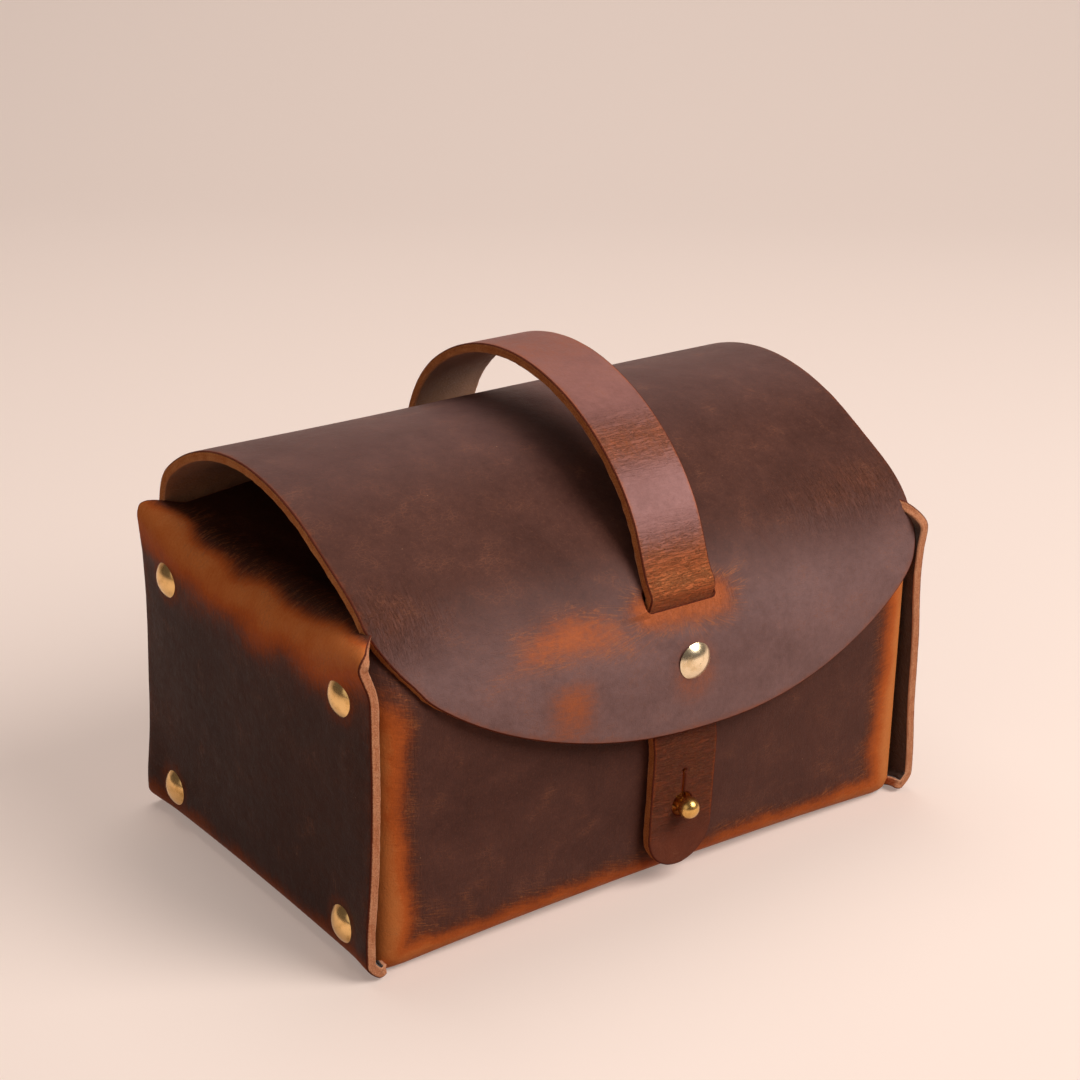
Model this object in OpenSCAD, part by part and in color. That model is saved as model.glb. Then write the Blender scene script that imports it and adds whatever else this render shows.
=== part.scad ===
// Riveted leather box with a domed lid, a carrying strap and a tab that buttons on a ball stud.
// Millimetres. +Z is up, the front is -Y and the left end is -X.
// The origin is the centre of the underside, on the surface that the box stands on.

/* [Leather] */
// Thickness of the hide that the box is folded from
leather_t = 3.2; // [2.4:0.1:3.6]
// Thickness of the strap leather
strap_t = 3.2; // [2.4:0.1:3.6]

/* [Box] */
// Width over the two end panels
box_w = 219; // [190:1:260]
// Depth over the front and back panels
box_d = 136.8; // [120:0.1:170]
// Height of the back panel and of all side flanges
wall_h = 95; // [93:0.5:96]
// Height of the front panel at its corners
front_h = 87.5; // [80:0.5:88]
// How far the front panel's top edge dips in the middle
front_dip = 6; // [4:0.5:20]
// Outer radius of the bends between base and walls
base_bend_r = 6.4; // [5:0.1:9]
// Outer radius of the upright bends between walls and flanges
side_bend_r = 8; // [5:0.1:12]
// How far each side flange reaches along the end panel
flange_w = 32; // [26:0.5:45]
// Gap under the side flanges
flange_gap = 5; // [4:0.5:8]
// Radius of the round relief holes in the base corners
relief_r = 2.6; // [1.5:0.1:3]

/* [End panels] */
// How far the end panels stand past the front and back faces
end_proud = 0.6; // [0:0.1:2]
// How far below the flanges' tops an end panel starts to belly outwards
belly_drop = 1; // [-4:0.5:1]
// Angle of the belly from upright
belly_angle = 22; // [5:1:30]
// Outer radius of the bend that starts the belly
belly_r = 15; // [10:1:40]
// Straight run between the belly and the fold
belly_run = 1.5; // [0.5:0.1:4]
// Outer radius of the fold along an end panel's top
fold_r = 6; // [4:0.5:7]
// How far the top flaps slope down into the box
wing_droop = 10; // [4:1:30]
// Length of the top flaps
wing_len = 42; // [25:1:80]
// How far behind the front face the top flaps' front edge lies
wing_front_inset = 18.4; // [18.4:0.1:38]
// How far before the back face the top flaps' rear edge lies
wing_rear_inset = 10.4; // [10.4:0.1:38]
// Corner radius of the top flaps
wing_corner_r = 12; // [4:1:16]

/* [Lid] */
// How far the lid's sides stand inside the end panels
lid_inset = 2.1; // [2.1:0.1:12]
// Length of the lid's rear rise
rise_run = 16; // [14:0.5:20]
// Inward lean of the rear rise
rise_lean = 12; // [8:1:14]
// Outer radius of the shoulder above the rear rise
shoulder_r = 16; // [10:1:24]
// Turn of the shoulder
shoulder_turn = 40; // [34:1:44]
// Turn over the top of the dome
crest_turn = 45; // [40:1:50]
// Outer radius of the dome's front slope
slope_r = 97; // [80:1:130]
// Turn of the front slope
slope_turn = 22; // [20:1:26]
// Straight run down the front slope
slope_run = 24; // [20:0.5:28]
// How far behind the front face the brow ends
brow_inset = 4.4; // [3:0.1:7]
// Outer radius of the brow where the lid turns down
brow_r = 32; // [26:1:40]
// Outward turn where the lid rides up over the strap
bulge_turn = 18; // [6:1:24]
// Radius of that outward turn
bulge_r = 6; // [4:1:10]
// Inner radius of the strap where it turns straight down behind the lid
drop_in_r = 0.8; // [0.5:0.1:4]
// Height of the lid's front edge in the middle
lid_low_z = 54.5; // [44:0.5:60]
// Height at which the lid's curved front edge starts at its sides
edge_z = 110; // [104:1:116]
// Offset of the lid's lowest point from the middle of the box, to the right
edge_x = 8; // [-10:0.5:12]

/* [Strap] */
// Width of the strap
strap_w = 25.4; // [18:0.1:36]
// Offset of the strap from the middle of the box, to the right
strap_x = 4; // [-10:0.5:10]
// Height of the strap's rear end above the lid's lowest edge, along the rise
anchor_gap = 3; // [3:0.5:6]
// Radius and turn of the handle behind its top
heel_r = 49; // [44:1:56]
heel_turn = 43.5; // [40:0.5:47]
// Turn over the handle's top
grip_turn = 43.5; // [40:0.5:47]
// Radius of the handle's front leg
toe_r = 79; // [70:1:88]
// Angle at which the handle meets the lid in front
toe_angle = 11; // [9:1:14]
// Straight run at the foot of the front leg
land_run = 1.8; // [0.5:0.1:5]
// How far the strap lies on the lid before its slot
lead_run = 3; // [1:0.5:6]
// How far past the brow the slot ends
slot_run = 12.4; // [10:0.1:14]
// Angle at which the strap dives through the slot
dive_angle = 50; // [40:1:60]
// Length of the closing tab below the lid's edge
tab_len = 47.5; // [36:0.5:48]
// Width of the slit above the buttonhole
slit_w = 0.8; // [0.4:0.1:1.4]
// Length of the slit
slit_len = 8; // [4:0.5:9]

/* [Hardware] */
// Diameter of the domed rivet caps
cap_d = 12; // [9:0.1:12.4]
// Height of the domed rivet caps
cap_h = 2.4; // [1.5:0.1:3]
// Diameter of the rivet posts
post_d = 4; // [2.5:0.1:5]
// Diameter of the flat rivet heads inside
head_d = 8; // [7:0.1:11]
// Thickness of the flat rivet heads
head_t = 1.2; // [0.8:0.1:2]
// Height of the lower end rivets
rivet_low_z = 12.6; // [11:0.1:16]
// How far the upper end rivets lie below the flanges' tops
rivet_drop = 7.6; // [7.3:0.1:24]
// Distance of the end rivets from the front or back face
rivet_inset = 16; // [15:0.5:22]
// How far the head of the rivet in the lid's front lies below the lid's last bend
lid_rivet_gap = 1; // [0.2:0.1:6]
// Diameter of the stud's ball
ball_d = 7.1; // [6:0.1:9]
// Diameter of the stud's neck
neck_d = 4; // [3:0.1:5]
// Height of the stud
stud_z = 28; // [22:0.5:32]
// Diameter of the stud's base
stud_base_d = 9; // [8:0.1:12]
// Thickness of the stud's base
stud_base_t = 1.2; // [0.8:0.1:1.4]
// Diameter of the stud's screw
screw_d = 3; // [2:0.1:3]

/* [Clearances] */
// Gap between leather pieces that move on each other
move_gap = 0.3; // [0.3:0.05:0.6]
// Gap around the strap in its slot
slot_gap = 0.4; // [0.3:0.05:0.8]
// Gap around a post in its hole
post_gap = 0.1; // [0.05:0.05:0.2]
// Gap around the ball in the buttonhole
ball_gap = 0.3; // [0.3:0.05:0.8]

/* [Hidden] */
$fn = 72;
facet_angle = 4;

HIDE = "#4a2a1c";
HIDE_WORN = "#8a4a24";
BRASS = "#c8a45c";

// A leather path is a list of runs along its outer face, seen from the side.
// [length, 0] is a straight run and [outer radius, angle] is a bend, positive towards the inner face.
// A place on it is [x, y, heading], with heading 0 along +Y.
function side(angle) = angle < 0 ? -1 : 1;
function place_after(p, run) = run[1] == 0
    ? [p[0] - run[0] * sin(p[2]), p[1] + run[0] * cos(p[2]), p[2]]
    : [p[0] + side(run[1]) * run[0] * (cos(p[2] + run[1]) - cos(p[2])),
       p[1] + side(run[1]) * run[0] * (sin(p[2] + run[1]) - sin(p[2])),
       p[2] + run[1]];
function place_along(p, path, i = 0) =
    i == len(path) ? p : place_along(place_after(p, path[i]), path, i + 1);
// How far place p stands outside the straight line through place q, and how far along that line it is
function stand_off(p, q) = (p[0] - q[0]) * cos(q[2]) + (p[1] - q[1]) * sin(q[2]);
function run_between(q, p) = (q[0] - p[0]) * sin(q[2]) - (q[1] - p[1]) * cos(q[2]);
// Place p moved outwards by g, and place p with another heading
function lifted(p, g) = [p[0] + g * cos(p[2]), p[1] + g * sin(p[2]), p[2]];
function facing(p, heading) = [p[0], p[1], heading];
// The same path, with its outer face moved out by g
function grown(path, g) = [for (run = path) run[1] == 0 ? run : [run[0] + side(run[1]) * g, run[1]]];

half_w = box_w / 2;
half_d = box_d / 2;
front_w = box_w - 2 * leather_t - 2 * side_bend_r;
flange_z = leather_t + flange_gap;
ear_chamfer = wall_h - front_h + 2;
ear_y = 6;
base_run = 2.5;
base_w = box_w - 2 * base_bend_r - 2 * base_run;
end_w = box_d + 2 * end_proud;
wing_front = half_d - wing_front_inset;
wing_rear = half_d - wing_rear_inset;
belly_z = wall_h - belly_drop;
rivet_high_z = wall_h - rivet_drop;

end_path = [[base_run, 0], [base_bend_r, 90], [belly_z - base_bend_r, 0], [belly_r, -belly_angle],
            [belly_run, 0], [fold_r, belly_angle + 90 + wing_droop]];

// The lid's side view: it starts at the back, just above the back panel, and ends at its front edge
lid_start = [half_d, wall_h + move_gap, 0];
lid_w = box_w - 2 * (leather_t + lid_inset);
lid_foot_r = 12;
brow_turn = 30;
shoulder_path = [[lid_foot_r, rise_lean], [rise_run, 0], [shoulder_r, shoulder_turn]];
brow_path = [[slope_r, slope_turn], [slope_run, 0], [brow_r, brow_turn]];
shoulder_end = place_along(lid_start, shoulder_path);
// The radius over the top of the dome is what brings the end of the brow to its place
sharp_brow = place_along(place_along(shoulder_end, [[0, crest_turn]]), brow_path);
crest_r = (sharp_brow[0] + half_d - brow_inset) / (cos(shoulder_end[2]) - cos(shoulder_end[2] + crest_turn));
lid_back_path = concat(shoulder_path, [[crest_r, crest_turn]], brow_path);
lid_brow = place_along(lid_start, lid_back_path);
// The strap: it rises from the back of the lid, arches over, lies on the lid and dives through the slot
tip_r = strap_w / 2;
rise_start = place_along(lid_start, [[lid_foot_r, rise_lean]]);
strap_start = lifted(place_along(rise_start, [[anchor_gap, 0]]), strap_t);
// The handle's rear run and the radius over its top are what bring it from its rear end to the slot
heel_end = rise_lean + heel_turn;
grip_end = heel_end + grip_turn;
grip_chord = (heel_end + grip_end) / 2;
toe_turn = lid_brow[2] + toe_angle - grip_end;
toe_back_r = 8;
toe_path = [[toe_r, toe_turn], [land_run, 0], [toe_back_r, -toe_angle], [lead_run, 0]];
dive_r = strap_t + 1;
rise_r = 1;
seat_gap = 0.03;
slot_margin = 0.5;
dive_drop = strap_t + seat_gap + leather_t;
dive_run = (dive_drop - (dive_r + rise_r) * (1 - cos(dive_angle))) / sin(dive_angle);
dive_path = [[dive_r, dive_angle], [dive_run, 0], [rise_r, -dive_angle]];
land_reach = slot_run - slot_margin - run_between([0, 0, 0], place_along([0, 0, 0], dive_path));
land_end = lifted(place_along(lid_brow, [[land_reach, 0]]), strap_t + seat_gap);
sharp_end = place_along(place_along(strap_start, [[heel_r, heel_turn], [0, grip_turn]]), toe_path);
heel_run = stand_off(land_end, facing(sharp_end, grip_chord)) / sin(grip_chord - rise_lean);
grip_reach = -stand_off(land_end, facing(sharp_end, rise_lean)) / sin(grip_chord - rise_lean);
grip_r = grip_reach / (2 * sin(grip_turn / 2));
arch_path = concat([[heel_run, 0], [heel_r, heel_turn], [grip_r, grip_turn]], toe_path);

// Past the slot the lid bulges out over the strap and then hangs straight down
lid_y = half_d + stud_base_t + move_gap + strap_t + leather_t;
bulge_end = place_along(lid_brow, [[slot_run, 0], [bulge_r, -bulge_turn]]);
drop_r = leather_t + strap_t + drop_in_r;
drop_turn = 180 - bulge_end[2];
bulge_run = (lid_y + bulge_end[0] - drop_r * (1 - cos(drop_turn))) / sin(drop_turn);
lid_bulge = [[bulge_r, -bulge_turn], [bulge_run, 0], [drop_r, drop_turn]];
lid_drop = place_along(lid_brow, concat([[slot_run, 0]], lid_bulge));
lid_hang = concat(lid_bulge, [[lid_drop[1] - lid_low_z, 0]]);
lid_path = concat(lid_back_path, [[slot_run, 0]], lid_hang);
lid_end = place_along(lid_start, lid_path);
lid_rivet_z = lid_drop[1] - head_d / 2 - lid_rivet_gap;
strap_path = concat(arch_path, dive_path, [[slot_margin, 0]], grown(lid_hang, -leather_t));

// The closing tab starts just below the lid's edge; the ball's back lies just inside its buttonhole
tab_z = lid_low_z - move_gap;
tab_y = lid_end[0] + leather_t;
ball_sink = 0.4;
ball_reach = -tab_y - half_d + ball_d / 2 - ball_sink;

// Puts a path's side view upright, with its width along +X
module side_view() rotate([90, 0, 90]) children();
// Puts a path's side view upright for the right end, with its width along -Y, heading outwards
module end_view() rotate([90, 0, 0]) rotate([0, 0, -90]) children();

// Moves children to a place on a path
module at_place(p) translate([p[0], p[1], 0]) rotate([0, 0, p[2]]) children();

// The places along a path at which its faces are broken, one every few degrees of a bend
function broken(path) = [for (run = path)
    let (parts = run[1] == 0 ? 1 : ceil(abs(run[1]) / facet_angle))
    for (i = [1:parts]) run[1] == 0 ? run : [run[0], run[1] / parts]];
function places(p, path, i = 0) =
    i == len(path) ? [p] : concat([p], places(place_after(p, path[i]), path, i + 1));

// Leather of thickness t and width w, bent along a path whose outer face starts at place p
module bent_leather(p, path, t, w) {
    outer = places(p, broken(path));
    last = len(outer) - 1;
    linear_extrude(w) polygon(concat(
        [for (q = outer) [q[0], q[1]]],
        [for (i = [last:-1:0]) [outer[i][0] - t * cos(outer[i][2]), outer[i][1] - t * sin(outer[i][2])]]));
}

// The right half of what is the same at both ends; the left half is its mirror image
module mirrored(is_left) mirror([is_left ? 1 : 0, 0, 0]) children();

// Round relief holes where the base and wall bends meet
module relief_holes()
    for (x = [-1, 1], y = [-1, 1])
        translate([x * (base_w / 2 - (base_w - front_w) / 4), y * (half_d - base_bend_r), -1])
            cylinder(r = relief_r, h = base_bend_r * 2);

// Holes for the rivet posts through the end panels and flanges
module end_rivet_holes()
    for (x = [-1, 1], y = [-1, 1], z = [rivet_low_z, rivet_high_z])
        translate([x * half_w, y * (half_d - rivet_inset), z]) rotate([0, 90, 0])
            cylinder(d = post_d + 2 * post_gap, h = 4 * leather_t, center = true);

// Flat base between the four bends
module base_panel()
    color(HIDE) difference() {
        translate([-base_w / 2, -half_d + base_bend_r, 0])
            cube([base_w, box_d - 2 * base_bend_r, leather_t]);
        relief_holes();
    }

// A long wall with its bottom bend, upright bends and side flanges, drawn as the front one
module long_wall(height) {
    lap = leather_t;
    translate([-front_w / 2, 0, 0]) side_view() mirror([1, 0, 0])
        at_place([half_d - base_bend_r, 0, -90])
            bent_leather([0, 0, 0], [[base_bend_r, 90], [height - base_bend_r, 0]], leather_t, front_w);
    translate([0, 0, flange_z]) for (left = [false, true]) mirrored(left)
        bent_leather([front_w / 2 - lap, -half_d, -90],
            [[lap, 0], [side_bend_r, 90], [flange_w - side_bend_r, 0]], leather_t, wall_h - flange_z);
}

// Front wall: its top edge dips, and the flanges' ears are cut back to clear the lid
module front_panel() {
    dip_r = (half_w * half_w + front_dip * front_dip) / (2 * front_dip);
    color(HIDE_WORN) difference() {
        long_wall(front_h);
        relief_holes();
        end_rivet_holes();
        translate([0, -half_d + ear_y, front_h - front_dip + dip_r]) rotate([90, 0, 0])
            cylinder(r = dip_r, h = 2 * ear_y, $fn = 360);
        translate([-half_w, -half_d - ear_y, front_h]) cube([box_w, 2 * ear_y, box_d]);
        translate([-half_w, -half_d + ear_y, front_h]) rotate([45, 0, 0])
            translate([0, -box_d, 0]) cube([box_w, box_d + ear_chamfer, box_d]);
        stud_hole();
    }
}

// Hole for the stud's screw
module stud_hole()
    translate([strap_x, -half_d - 1, stud_z]) rotate([-90, 0, 0])
        cylinder(d = screw_d + 2 * post_gap, h = leather_t + 2);

// Back wall, up to the lid's fold
module back_panel()
    color(HIDE) difference() {
        mirror([0, 1, 0]) long_wall(wall_h);
        relief_holes();
        end_rivet_holes();
    }

// End panel: rises from the base, bellies out and folds inwards at its top
module end_panel(is_left)
    color(HIDE_WORN) difference() {
        mirrored(is_left) translate([0, end_w / 2, 0]) end_view()
            bent_leather([0, base_w / 2, 0], end_path, leather_t, end_w);
        relief_holes();
        end_rivet_holes();
    }

// Top flap of an end panel: lies inwards under the lid and folds down
module top_flap(is_left) {
    fold_end = place_along([0, base_w / 2, 0], end_path);
    flap_d = wing_front + wing_rear;
    color(HIDE) mirrored(is_left) translate([0, wing_rear, 0]) end_view() at_place(fold_end)
        translate([-leather_t, move_gap, 0]) rotate([90, 0, 90]) linear_extrude(leather_t) {
            square([wing_len - wing_corner_r, flap_d]);
            translate([0, wing_corner_r]) square([wing_len, flap_d - 2 * wing_corner_r]);
            for (y = [wing_corner_r, flap_d - wing_corner_r])
                translate([wing_len - wing_corner_r, y]) circle(r = wing_corner_r);
        }
}

// The lid's outline seen from the front: below its straight sides, a quarter of an ellipse on either
// side of its lowest point
module lid_front_outline() {
    drop = edge_z - lid_end[1];
    steps = 60;
    polygon(concat(
        [[lid_w / 2, 2 * box_d], [-lid_w / 2, 2 * box_d]],
        [for (i = [0:steps])
            let (a = 180 + 180 * i / steps)
            [edge_x + (lid_w / 2 - sign(cos(a)) * edge_x) * cos(a), edge_z + drop * sin(a)]]));
}

// A post's hole through lid and strap, along Y
module strap_hole(z, y)
    translate([strap_x, y, z]) rotate([90, 0, 0])
        cylinder(d = post_d + 2 * post_gap, h = 6 * leather_t, center = true);

// The handle rivet's place: square to the rear rise, its axis along +X of a path's place
handle_rivet_place = place_along(rise_start, [[anchor_gap + tip_r / 2 + 1, 0]]);
module at_handle_rivet()
    translate([strap_x, 0, 0]) side_view() at_place(handle_rivet_place) rotate([0, 90, 0]) children();

// Domed lid: one bent sheet, cut to a curved edge in front, with a slot for the strap
module lid()
    color(HIDE) difference() {
        intersection() {
            translate([-lid_w / 2, 0, 0]) side_view() bent_leather(lid_start, lid_path, leather_t, lid_w);
            union() {
                translate([-lid_w, 0, 0]) cube([2 * lid_w, box_d, 2 * box_d]);
                translate([0, move_gap, 0]) rotate([90, 0, 0]) linear_extrude(box_d) lid_front_outline();
            }
        }
        strap_slot();
        strap_hole(lid_rivet_z, lid_end[0]);
        at_handle_rivet() cylinder(d = post_d + 2 * post_gap, h = 6 * leather_t, center = true);
    }

// The slot: the strap's own dive through the lid, with the slot's gap all round
module strap_slot() {
    slot_start = lifted(land_end, slot_gap);
    slot_t = strap_t + 2 * slot_gap;
    translate([strap_x - tip_r - slot_gap, 0, 0]) side_view()
        bent_leather(slot_start, grown(dive_path, slot_gap), slot_t, strap_w + 2 * slot_gap);
}

// What is cut away at the start of a strap's path to round its end
module round_end(t, w)
    difference() {
        translate([-t - 1, -1, -1]) cube([t + 2, w / 2 + 1, w + 2]);
        translate([-t - 2, w / 2, w / 2]) rotate([0, 90, 0]) cylinder(d = w, h = t + 4);
    }

// Carrying strap: riveted to the lid's rear rise, arched as a handle, run through the slot to the lid's edge
module handle_strap()
    color(HIDE_WORN) difference() {
        translate([strap_x - tip_r, 0, 0]) side_view()
            bent_leather(strap_start, strap_path, strap_t, strap_w);
        translate([strap_x - tip_r, 0, 0]) side_view()
            at_place(strap_start) round_end(strap_t, strap_w);
        strap_hole(lid_rivet_z, lid_end[0]);
        at_handle_rivet() cylinder(d = post_d + 2 * post_gap, h = 6 * leather_t, center = true);
    }

// Closing tab: the strap's free end, with a round buttonhole and a slit above it
module closing_tab() {
    hole_d = ball_d + 2 * ball_gap;
    color(HIDE_WORN) difference() {
        translate([strap_x - tip_r, 0, 0]) side_view() at_place([tab_y, tab_z, 180])
            difference() {
                bent_leather([0, 0, 0], [[tab_len, 0]], strap_t, strap_w);
                translate([0, tab_len, 0]) mirror([0, 1, 0]) round_end(strap_t, strap_w);
            }
        translate([strap_x, tab_y + 2 * strap_t, stud_z]) rotate([90, 0, 0]) {
            cylinder(d = hole_d, h = 4 * strap_t);
            translate([-slit_w / 2, 0, 0]) cube([slit_w, hole_d / 2 + slit_len, 4 * strap_t]);
        }
    }
}

// Domed rivet cap, its flat face on z = 0, with a socket for the post
module rivet_cap() {
    dome_r = (cap_d * cap_d / 4 + cap_h * cap_h) / (2 * cap_h);
    color(BRASS) difference() {
        intersection() {
            translate([0, 0, cap_h - dome_r]) sphere(r = dome_r, $fn = 96);
            cylinder(d = cap_d, h = cap_h);
        }
        translate([0, 0, -1]) cylinder(d = post_d + 2 * post_gap, h = cap_h / 2 + 1);
    }
}

// Rivet post with its flat head, reaching from z = -grip to a cap at z = 0
module rivet_post(grip)
    color(BRASS) {
        translate([0, 0, -grip]) cylinder(d = post_d, h = grip + cap_h / 2);
        translate([0, 0, -grip - head_t]) cylinder(d = head_d, h = head_t);
    }

// An end rivet's place; children's +Z points out of the end panel
module at_end_rivet(is_left, is_back, z)
    mirrored(is_left) translate([half_w, (is_back ? 1 : -1) * (half_d - rivet_inset), z])
        rotate([0, 90, 0]) children();
module end_cap(is_left, is_back, z) at_end_rivet(is_left, is_back, z) rivet_cap();
module end_post(is_left, is_back, z) at_end_rivet(is_left, is_back, z) rivet_post(2 * leather_t);

// The lid rivet's place; children's +Z points forwards
module at_lid_rivet() translate([strap_x, lid_end[0], lid_rivet_z]) rotate([90, 0, 0]) children();
module lid_rivet_cap() at_lid_rivet() rivet_cap();
module lid_rivet_post() at_lid_rivet() rivet_post(leather_t + strap_t);
module handle_rivet_cap() at_handle_rivet() translate([0, 0, strap_t]) rivet_cap();
module handle_rivet_post() at_handle_rivet() translate([0, 0, strap_t]) rivet_post(leather_t + strap_t);

// Ball stud on the front panel: base, neck and ball, with a blind hole for its screw
module ball_stud() {
    color(BRASS) translate([strap_x, -half_d, stud_z]) rotate([90, 0, 0]) difference() {
        union() {
            cylinder(d = stud_base_d, h = stud_base_t);
            cylinder(d = neck_d, h = ball_reach);
            translate([0, 0, ball_reach]) sphere(d = ball_d);
        }
        translate([0, 0, -1]) cylinder(d = screw_d, h = ball_reach / 2 + 1);
    }
}

// Screw that holds the stud from inside, with a slotted flat head
module stud_screw() {
    color(BRASS) translate([strap_x, -half_d, stud_z]) rotate([90, 0, 0]) difference() {
        union() {
            translate([0, 0, -leather_t]) cylinder(d = screw_d, h = leather_t + ball_reach / 2);
            translate([0, 0, -leather_t - head_t]) cylinder(d = stud_base_d, h = head_t);
        }
        translate([-stud_base_d, -head_t / 2, -leather_t - 1.5 * head_t])
            cube([2 * stud_base_d, head_t, head_t]);
    }
}

base_panel();
front_panel();
back_panel();
end_panel(true);  // left_end_panel
end_panel(false);  // right_end_panel
top_flap(true);  // left_top_flap
top_flap(false);  // right_top_flap
lid();
handle_strap();
closing_tab();
for (left = [false, true], back = [false, true], high = [false, true]) {
    name = str(left ? "left" : "right", back ? "_back" : "_front", high ? "_high" : "_low");
    z = high ? rivet_high_z : rivet_low_z;
    end_cap(left, back, z);
    end_post(left, back, z);
}
lid_rivet_cap();
lid_rivet_post();
handle_rivet_cap();
handle_rivet_post();
ball_stud();
stud_screw();
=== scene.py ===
"""Riveted leather box with a domed lid, a carrying strap and a tab that buttons on a ball stud.

Lengths are millimetres in this file and become metres as each mesh is made. The frame has +Z up, the
front at -Y and the left end at -X. Each leather piece is a flat pattern, which a function bends.
"""

import math

import bpy
import numpy as np
from mathutils import Matrix, Vector
from mathutils.geometry import delaunay_2d_cdt


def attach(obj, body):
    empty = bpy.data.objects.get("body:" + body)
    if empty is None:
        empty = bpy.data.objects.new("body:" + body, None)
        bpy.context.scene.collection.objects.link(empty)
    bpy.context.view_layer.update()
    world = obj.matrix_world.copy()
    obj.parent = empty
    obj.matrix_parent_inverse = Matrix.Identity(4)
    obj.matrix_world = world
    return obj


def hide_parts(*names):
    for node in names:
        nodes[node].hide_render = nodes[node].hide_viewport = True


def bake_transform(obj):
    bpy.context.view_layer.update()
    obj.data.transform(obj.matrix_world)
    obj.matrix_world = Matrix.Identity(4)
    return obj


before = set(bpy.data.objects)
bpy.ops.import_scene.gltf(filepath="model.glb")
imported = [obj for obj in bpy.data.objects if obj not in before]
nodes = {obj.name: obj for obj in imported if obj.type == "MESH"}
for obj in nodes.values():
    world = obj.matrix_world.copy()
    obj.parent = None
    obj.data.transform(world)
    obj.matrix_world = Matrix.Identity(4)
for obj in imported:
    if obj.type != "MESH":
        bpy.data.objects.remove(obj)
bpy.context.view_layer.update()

MM = 0.001
LEATHER_T = 3.2
HALF_D = 68.4
END_HALF_D = 69.0
BASE_HALF_W = 100.6
BEND_R = 6.4
BASE_RUN = 2.5
SIDE_R = 8.0
WIDE_SIDE_R = 11.0
FRONT_HALF_W = 98.3
FLANGE_W = 32.0
FLANGE_Z = 8.2
WALL_H = 95.0
FRONT_H = 87.5
FRONT_DIP = 6.0
RELIEF_R = 2.6
SEAM_Z = 94.0
STRAP_X = 4.0
STRAP_W = 25.4
TAB_END_Z = 6.7
STUD_Z = 28.0
LEFT, RIGHT = -1, 1


# ---------------------------------------------------------------- small helpers

def rgb(red, green, blue):
    """Linear colour of an sRGB colour given in 0 to 255."""
    linear = [c / 12.92 if c <= 0.04045 else ((c + 0.055) / 1.055) ** 2.4
              for c in (red / 255, green / 255, blue / 255)]
    return (*linear, 1.0)


def smooth(low, high, x):
    """0 below low, 1 above high and an S curve in between."""
    t = np.clip((x - low) / (high - low), 0, 1)
    return t * t * (3 - 2 * t)


def bump(x, width):
    """A bell of height 1 around x = 0."""
    return np.exp(-(x / width) ** 2)


def wander(x, y, seed, scale):
    """Smooth irregular waves between about -1 and 1, the same each run."""
    waves = np.random.RandomState(seed)
    total = 0
    for _ in range(7):
        angle, phase = waves.uniform(0, 2 * math.pi, 2).tolist()
        pitch = waves.uniform(0.5, 1.6)
        along = x * math.cos(angle) + y * math.sin(angle)
        total = total + np.sin(along * 2 * math.pi * pitch / scale + phase)
    return total / 3.5


def flow_along(first, second):
    """Directions for the grain: fibres are drawn out along the second value, creases along the first."""
    return np.stack([first, second, first * 0], -1)


# ---------------------------------------------------------------- bent paths

def trace(start, runs, s):
    """Place (a, b) and heading on a path's outer face at arc length s.
    A run is (length, 0) or (outer radius, degrees), as in the CAD source; the last run has no end."""
    a, b, heading = (np.zeros_like(s) + v for v in start)
    heading = np.radians(heading)
    left = s.copy()
    for i, (size, turn) in enumerate(runs):
        if np.all(np.asarray(turn) == 0):
            low = 0 if i else None
            high = None if i == len(runs) - 1 else size
            t = left if low is high else np.clip(left, low, high)
            a = a - t * np.sin(heading)
            b = b + t * np.cos(heading)
            left = left - size
            continue
        side = np.sign(np.mean(turn))
        length = size * np.radians(np.abs(turn))
        turned = heading + side * np.clip(left, 0, length) / size
        a = a + side * size * (np.cos(turned) - np.cos(heading))
        b = b + side * size * (np.sin(turned) - np.sin(heading))
        heading = turned
        left = left - length
    return a, b, heading


def softened(start, runs, s, reach):
    """The path's places, with its bends eased over a reach to either side."""
    offsets = np.linspace(-1, 1, 9)
    weights = np.exp(-(1.5 * offsets) ** 2)
    weights /= weights.sum()
    a = b = 0
    for offset, weight in zip(offsets, weights):
        at_a, at_b, _ = trace(start, runs, s + offset * reach)
        a = a + weight * at_a
        b = b + weight * at_b
    return a, b


def run_length(runs):
    """The length along the outer face of runs whose turns are plain numbers."""
    return sum(size if turn == 0 else size * math.radians(abs(turn)) for size, turn in runs)


# ---------------------------------------------------------------- leather sheets

def arc(centre, radius, first, last, step=1.0):
    """Points along an arc, angles in degrees."""
    count = max(3, int(abs(math.radians(last - first)) * radius / step))
    angles = np.radians(np.linspace(first, last, count))
    return np.stack([centre[0] + radius * np.cos(angles), centre[1] + radius * np.sin(angles)], -1)


def dense(points, step=1.0):
    """The closed outline with its long stretches divided."""
    points = np.asarray(points, float)
    made = []
    for p, q in zip(points, np.roll(points, -1, 0)):
        count = max(1, int(round(np.linalg.norm(q - p) / step)))
        if np.linalg.norm(q - p) > 1e-6:
            made.extend(p + (q - p) * k / count for k in range(count))
    return np.array(made)


def area(points):
    """Signed area of a closed loop, positive when it runs counterclockwise."""
    x, y = points.T
    return 0.5 * np.sum(x * np.roll(y, -1) - y * np.roll(x, -1))


def inside(points, loops):
    """Even-odd test of many points against closed loops."""
    odd = np.zeros(len(points), bool)
    for loop in loops:
        for (x0, y0), (x1, y1) in zip(loop, np.roll(loop, -1, 0)):
            if y0 == y1:
                continue
            crosses = (points[:, 1] < y0) != (points[:, 1] < y1)
            odd ^= crosses & (points[:, 0] < x0 + (points[:, 1] - y0) * (x1 - x0) / (y1 - y0))
    return odd


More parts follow.
